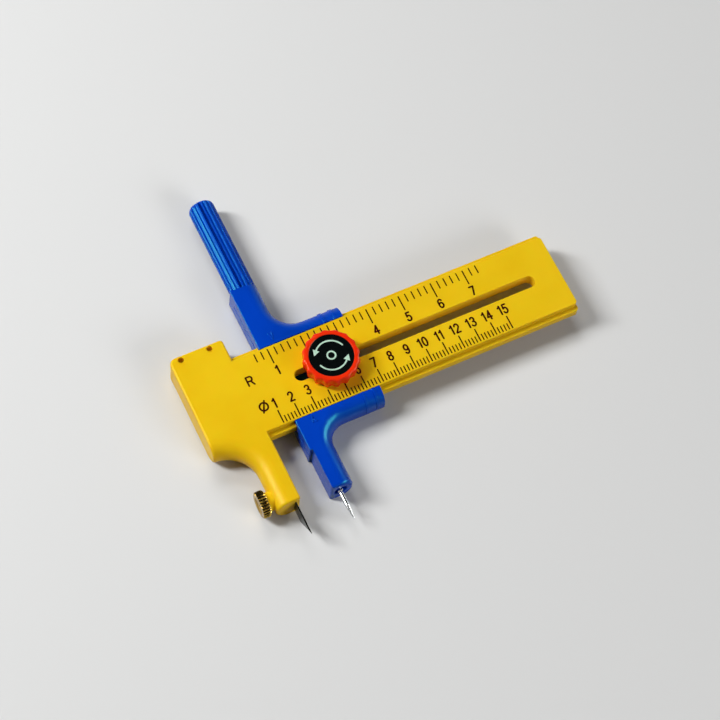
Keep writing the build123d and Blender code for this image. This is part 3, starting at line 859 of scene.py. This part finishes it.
def ribbon(build, points, width, low, high):
    """A flat solid along a line of points.

    It is a ring where the line closes, and otherwise round at both ends."""
    line = [Vector(p) for p in points]
    closed = (line[0] - line[-1]).length < width / 50
    if closed:
        line = line[:-1]
    count = len(line)
    left, right = [], []
    for index, here in enumerate(line):
        before = line[index - 1] if index or closed else here
        after = line[(index + 1) % count] if index < count - 1 or closed else here
        first, second = (here - before), (after - here)
        first = first.normalized() if first.length else second.normalized()
        second = second.normalized() if second.length else first
        along = (first + second).normalized()
        side = Vector((-along.y, along.x))
        reach = width / 2 / max(0.5, side.dot(Vector((-first.y, first.x))))
        left.append(here + side * reach)
        right.append(here - side * reach)
    if closed:
        flat_ring(build, left, right, low, high)
        return
    caps = []
    for centre, neighbour in ((line[-1], line[-2]), (line[0], line[1])):
        out = math.atan2(*(centre - neighbour).yx)
        cap = []
        for step in range(1, CAP_STEPS):
            angle = out + math.pi / 2 - math.pi * step / CAP_STEPS
            cap.append(centre + Vector((math.cos(angle), math.sin(angle))) * width / 2)
        caps.append(cap)
    flat_prism(build, left + caps[0] + right[::-1] + caps[1], low, high)


print("a closed stroke is a ring, an open one has", CAP_STEPS - 1, "points in each round end")

# %% [markdown]
# ## The figures
#
# Here is the stencil itself, with the ten figures, the R of the radius scale and the
# crossed circle of the diameter scale. A 9 is a 6 turned by half, so it is worked out.
# Corners that turn sharply are split into two strokes, because a mitred corner would
# shoot out past the figure.

# %% Figures
BOWL = 0.27
FIGURES = {
    "0": [arc(BOWL, 0.5, BOWL, 0.5, 90, 450, 32)],
    "1": [[(0.0, 0.80), (0.13, 0.86), (0.24, 1.0)], [(0.24, 1.0), (0.24, 0.0)]],
    "2": [arc(0.26, 0.72, 0.26, 0.28, 165, -32) + [(0.0, 0.0)], [(0.0, 0.0), (0.54, 0.0)]],
    "3": [arc(0.25, 0.76, 0.24, 0.24, 150, -90), arc(0.25, 0.26, 0.28, 0.26, 90, -155)],
    "4": [[(0.40, 0.0), (0.40, 1.0)], [(0.40, 1.0), (0.0, 0.28)], [(0.0, 0.28), (0.58, 0.28)]],
    "5": [
        [(0.50, 1.0), (0.10, 1.0)],
        [(0.10, 1.0), (0.06, 0.54)],
        arc(0.25, 0.32, 0.28, 0.32, 132, -155),
    ],
    "6": [
        arc(BOWL, 0.70, 0.26, 0.30, 30, 180, 12) + [(0.01, 0.30)],
        arc(BOWL, 0.30, 0.26, 0.30, 180, 540, 28),
    ],
    "7": [[(0.0, 1.0), (0.53, 1.0)], [(0.53, 1.0), (0.20, 0.0)]],
    "8": [arc(BOWL, 0.76, 0.23, 0.24, -90, 270, 26), arc(BOWL, 0.26, BOWL, 0.26, 90, 450, 28)],
    "R": [
        [(0.0, 0.0), (0.0, 1.0)],
        [(0.0, 1.0), (0.42, 1.0)] + arc(0.42, 0.74, 0.24, 0.26, 80, -90, 12) + [(0.0, 0.48)],
        [(0.40, 0.48), (0.70, 0.0)],
    ],
    "crossed circle": [
        arc(0.5, 0.5, 0.5, 0.46, 90, 450, 32),
        [(0.20, -0.12), (0.82, 1.12)],
    ],
}
FIGURES["9"] = [[(2 * BOWL - x, 1 - y) for x, y in stroke] for stroke in FIGURES["6"]]
FIGURE_WIDE = {"1": 0.24, "R": 0.70, "crossed circle": 1.0}
USUAL_WIDE = 0.54
FIGURE_GAP = 0.38
print("figures:", " ".join(FIGURES))

# %% [markdown]
# ## The printed numbers
#
# A number is laid out figure by figure and then centred on its tick. Each stroke stands one
# and a half thousandths of a millimetre higher than the one before, because two faces in
# the same plane would flicker where the strokes cross.

# %% Numbers
PEN = 0.50 * MM
FAR_LINE, NEAR_LINE, SIGN_LINE = 3.92, -4.70, -4.52


def printed(name, words, height, squeeze):
    """Words on the scale face: each is (figures, reach, across), placed by its middle."""
    build = bmesh.new()
    low, high = scale_z - INK_ROOT, scale_z + INK_HEIGHT
    for figures, reach, across in words:
        widths = [FIGURE_WIDE.get(figure, USUAL_WIDE) for figure in figures]
        total = sum(widths) + FIGURE_GAP * (len(figures) - 1)
        x, y = on_scale(reach, across)
        cursor = -total / 2
        layer = 0
        for figure, wide in zip(figures, widths):
            for stroke in FIGURES[figure]:
                line = [
                    (x + (cursor + px) * height * squeeze, y + (py - 0.5) * height)
                    for px, py in stroke
                ]
                ribbon(build, line, PEN, low, high + layer * LAYER)
                layer += 1
            cursor += wide + FIGURE_GAP
    bmesh.ops.recalc_face_normals(build, faces=build.faces)
    return add_piece(name, finished_mesh(name, build), ink, "beam")


radius_words = [([str(n)], 10 * n, FAR_LINE) for n in range(1, 8)]
diameter_words = [(list(str(n)), 5 * n, NEAR_LINE) for n in range(1, 16)]
sign_words = [(["R"], 1.80, FAR_LINE), (["crossed circle"], 2.0, SIGN_LINE)]
radius_numbers = printed("radius_numbers", radius_words, height=2.52 * MM, squeeze=0.86)
diameter_numbers = printed("diameter_numbers", diameter_words, height=2.64 * MM, squeeze=0.82)
scale_signs = printed("scale_signs", sign_words, height=2.60 * MM, squeeze=0.90)
print("numbers:", radius_numbers.name, diameter_numbers.name, scale_signs.name)

# %% [markdown]
# ## The mark on the label
#
# The black disc carries a plain mark in pale ink: two bent arrows that show that the
# knob turns, round a small ring. They are made with the same ribbons as the figures. Each
# arrow is an arc and a flat three-cornered head, and the mark turns with the knob.

# %% Turn arrows
ARROW_RADIUS = 4.35 * MM
ARROW_PEN = 0.44 * MM
ARROW_HEAD = 0.95 * MM
HEAD_STRETCH = 1.9
ARROW_FROM, ARROW_TO = 22, 138
RING_RADIUS = 1.15 * MM
label_z = label_high.z


def turn_arrows():
    """Two bent arrows round a ring, on the disc in the knob."""
    build = bmesh.new()
    middle = Vector((knob_x, line_y))
    low, high = label_z - INK_ROOT, label_z + INK_HEIGHT
    for start in (0, 180):
        bend = arc(
            knob_x, line_y, ARROW_RADIUS, ARROW_RADIUS, start + ARROW_FROM, start + ARROW_TO, 30
        )
        ribbon(build, bend, ARROW_PEN, low, high)
        angle = math.radians(start + ARROW_TO)
        out = Vector((math.cos(angle), math.sin(angle)))
        ahead = Vector((-out.y, out.x))
        foot = middle + out * ARROW_RADIUS
        tip = foot + ahead * ARROW_HEAD * HEAD_STRETCH
        corners = [foot + out * ARROW_HEAD, tip, foot - out * ARROW_HEAD]
        flat_prism(build, corners, low, high + LAYER)
    ring = arc(knob_x, line_y, RING_RADIUS, RING_RADIUS, 0, 360, 32)
    ribbon(build, ring, ARROW_PEN, low, high)
    bmesh.ops.recalc_face_normals(build, faces=build.faces)
    mesh = finished_mesh("turn_arrows", build)
    return add_piece("turn_arrows", mesh, label_white, "clamp")


arrows = turn_arrows()
print("label mark:", len(arrows.data.polygons), "faces")
